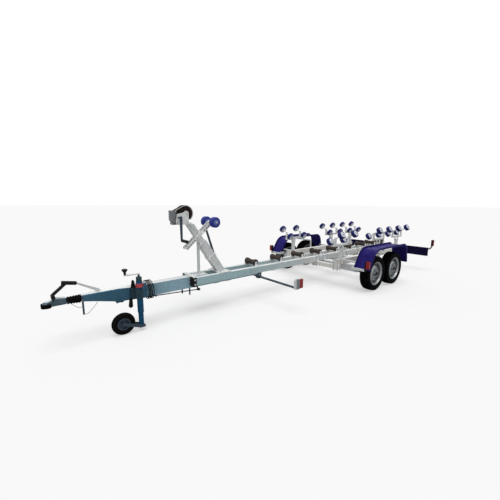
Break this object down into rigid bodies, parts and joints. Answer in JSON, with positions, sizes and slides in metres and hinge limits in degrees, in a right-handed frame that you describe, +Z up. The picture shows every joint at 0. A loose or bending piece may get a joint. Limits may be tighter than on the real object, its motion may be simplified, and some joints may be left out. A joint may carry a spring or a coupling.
{
  "type": "boat trailer",
  "caption": "Braked tandem-axle boat trailer with a roller bed, winch post, jockey wheel, flat-topped fenders and a rear light board.",
  "frame": {"origin": "centre of the footprint at ground level, where the tyres and the jockey wheel stand", "axes": "+X forward along the trailer to the coupling, +Y to the trailer's left side, +Z up"},
  "size_m": [6.06, 2.042, 1.273],
  "materials": {
    "galvanised": "satin",
    "housing_grey": "satin",
    "bright_steel": "satin",
    "fender_blue": "satin",
    "board_navy": "satin",
    "jack_blue": "gloss",
    "collar_red": "gloss",
    "black_metal": "satin",
    "black_plastic": "matte",
    "black_rubber": "matte",
    "road_tyre": "matte",
    "roller_blue": "satin",
    "roller_black": "matte",
    "strap_brown": "matte",
    "lens_red": "gloss",
    "lens_clear": "gloss"
  },
  "bodies": {
    "frame": {"coupling_head": "housing_grey", "nose_cap": "black_rubber", "coupling_handle": "black_metal", "handbrake_lever": "bright_steel", "hand_grips": "black_plastic", "bellows": "black_rubber", "overrun_housing": "housing_grey", "breakaway_cable": "bright_steel", "jockey_tube": "jack_blue", "jockey_collar": "collar_red", "jockey_crank": "galvanised", "jockey_clamp": "housing_grey", "drawbar_tube": "housing_grey", "cable_coil": "black_rubber", "trailer_plug": "black_plastic", "brake_rod": "housing_grey", "junction_clamp": "black_metal", "main_rails": "galvanised", "side_frame": "galvanised", "axles": "galvanised", "fenders": "fender_blue", "stays": "galvanised", "winch_post": "galvanised", "bow_arm": "galvanised", "winch_frame": "bright_steel", "roller_brackets": "galvanised", "keel_rollers": "roller_black", "lamp_bodies": "black_plastic", "red_lenses": "lens_red", "clear_lenses": "lens_clear", "light_board": "board_navy"},
    "jack_leg": {"jockey_leg": "jack_blue"},
    "jack_fork": {"jockey_fork": "housing_grey"},
    "jack_wheel": {"jockey_tyre": "black_rubber", "jockey_rim": "galvanised"},
    "bow_roller_pair": {"bow_rollers": "roller_blue"},
    "strap_drum": {"winch_drum": "bright_steel", "strap_roll": "strap_brown"},
    "crank": {"winch_crank": "black_metal", "winch_grip": "black_plastic"},
    "wheel_front_left": {"tyre_front_left": "road_tyre", "rim_front_left": "bright_steel"},
    "wheel_front_right": {"tyre_front_right": "road_tyre", "rim_front_right": "bright_steel"},
    "wheel_rear_left": {"tyre_rear_left": "road_tyre", "rim_rear_left": "bright_steel"},
    "wheel_rear_right": {"tyre_rear_right": "road_tyre", "rim_rear_right": "bright_steel"},
    "rocker_front_left": {"bogie_front_left": "galvanised", "hull_rollers_front_left": "roller_blue"},
    "rocker_front_right": {"bogie_front_right": "galvanised", "hull_rollers_front_right": "roller_blue"},
    "rocker_middle_left": {"bogie_middle_left": "galvanised", "hull_rollers_middle_left": "roller_blue"},
    "rocker_middle_right": {"bogie_middle_right": "galvanised", "hull_rollers_middle_right": "roller_blue"},
    "rocker_rear_left": {"bogie_rear_left": "galvanised", "hull_rollers_rear_left": "roller_blue"},
    "rocker_rear_right": {"bogie_rear_right": "galvanised", "hull_rollers_rear_right": "roller_blue"}
  },
  "joints": [
    {"name": "jack_leg_slide", "type": "slide", "parent": "frame", "child": "jack_leg", "axis": [0, 0, 1], "range_m": [-0.08, 0.1]},
    {"name": "jack_swivel", "type": "hinge", "parent": "jack_leg", "child": "jack_fork", "pos_m": [2.224, 0.115, 0.06], "axis": [0, 0, 1], "continuous": true},
    {"name": "jack_wheel_spin", "type": "hinge", "parent": "jack_fork", "child": "jack_wheel", "pos_m": [2.397, 0.115, 0.111], "axis": [0, 1, 0], "continuous": true},
    {"name": "bow_roller_spin", "type": "hinge", "parent": "frame", "child": "bow_roller_pair", "pos_m": [1.312, 0, 1.072], "axis": [0, 1, 0], "continuous": true},
    {"name": "drum_spin", "type": "hinge", "parent": "frame", "child": "strap_drum", "pos_m": [1.645, 0, 1.181], "axis": [0, 1, 0], "continuous": true},
    {"name": "crank_spin", "type": "hinge", "parent": "frame", "child": "crank", "pos_m": [1.752, 0, 1.14], "axis": [0, 1, 0], "continuous": true},
    {"name": "wheel_front_left_spin", "type": "hinge", "parent": "frame", "child": "wheel_front_left", "pos_m": [-0.97, 0.8825, 0.2625], "axis": [0, 1, 0], "continuous": true},
    {"name": "wheel_front_right_spin", "type": "hinge", "parent": "frame", "child": "wheel_front_right", "pos_m": [-0.97, -0.8825, 0.2625], "axis": [0, 1, 0], "continuous": true},
    {"name": "wheel_rear_left_spin", "type": "hinge", "parent": "frame", "child": "wheel_rear_left", "pos_m": [-1.546, 0.8825, 0.2625], "axis": [0, 1, 0], "continuous": true},
    {"name": "wheel_rear_right_spin", "type": "hinge", "parent": "frame", "child": "wheel_rear_right", "pos_m": [-1.546, -0.8825, 0.2625], "axis": [0, 1, 0], "continuous": true},
    {"name": "rocker_front_left_tilt", "type": "hinge", "parent": "frame", "child": "rocker_front_left", "pos_m": [-0.72, 0.5, 0.67], "axis": [0, 1, 0], "range_deg": [-15, 15]},
    {"name": "rocker_front_right_tilt", "type": "hinge", "parent": "frame", "child": "rocker_front_right", "pos_m": [-0.72, -0.5, 0.67], "axis": [0, 1, 0], "range_deg": [-15, 15]},
    {"name": "rocker_middle_left_tilt", "type": "hinge", "parent": "frame", "child": "rocker_middle_left", "pos_m": [-1.86, 0.5, 0.67], "axis": [0, 1, 0], "range_deg": [-15, 15]},
    {"name": "rocker_middle_right_tilt", "type": "hinge", "parent": "frame", "child": "rocker_middle_right", "pos_m": [-1.86, -0.5, 0.67], "axis": [0, 1, 0], "range_deg": [-15, 15]},
    {"name": "rocker_rear_left_tilt", "type": "hinge", "parent": "frame", "child": "rocker_rear_left", "pos_m": [-2.57, 0.5, 0.67], "axis": [0, 1, 0], "range_deg": [-15, 15]},
    {"name": "rocker_rear_right_tilt", "type": "hinge", "parent": "frame", "child": "rocker_rear_right", "pos_m": [-2.57, -0.5, 0.67], "axis": [0, 1, 0], "range_deg": [-15, 15]}
  ],
  "couplings": [
    {"joint": "crank_spin", "follows": "drum_spin", "ratio": -4.1818}
  ]
}
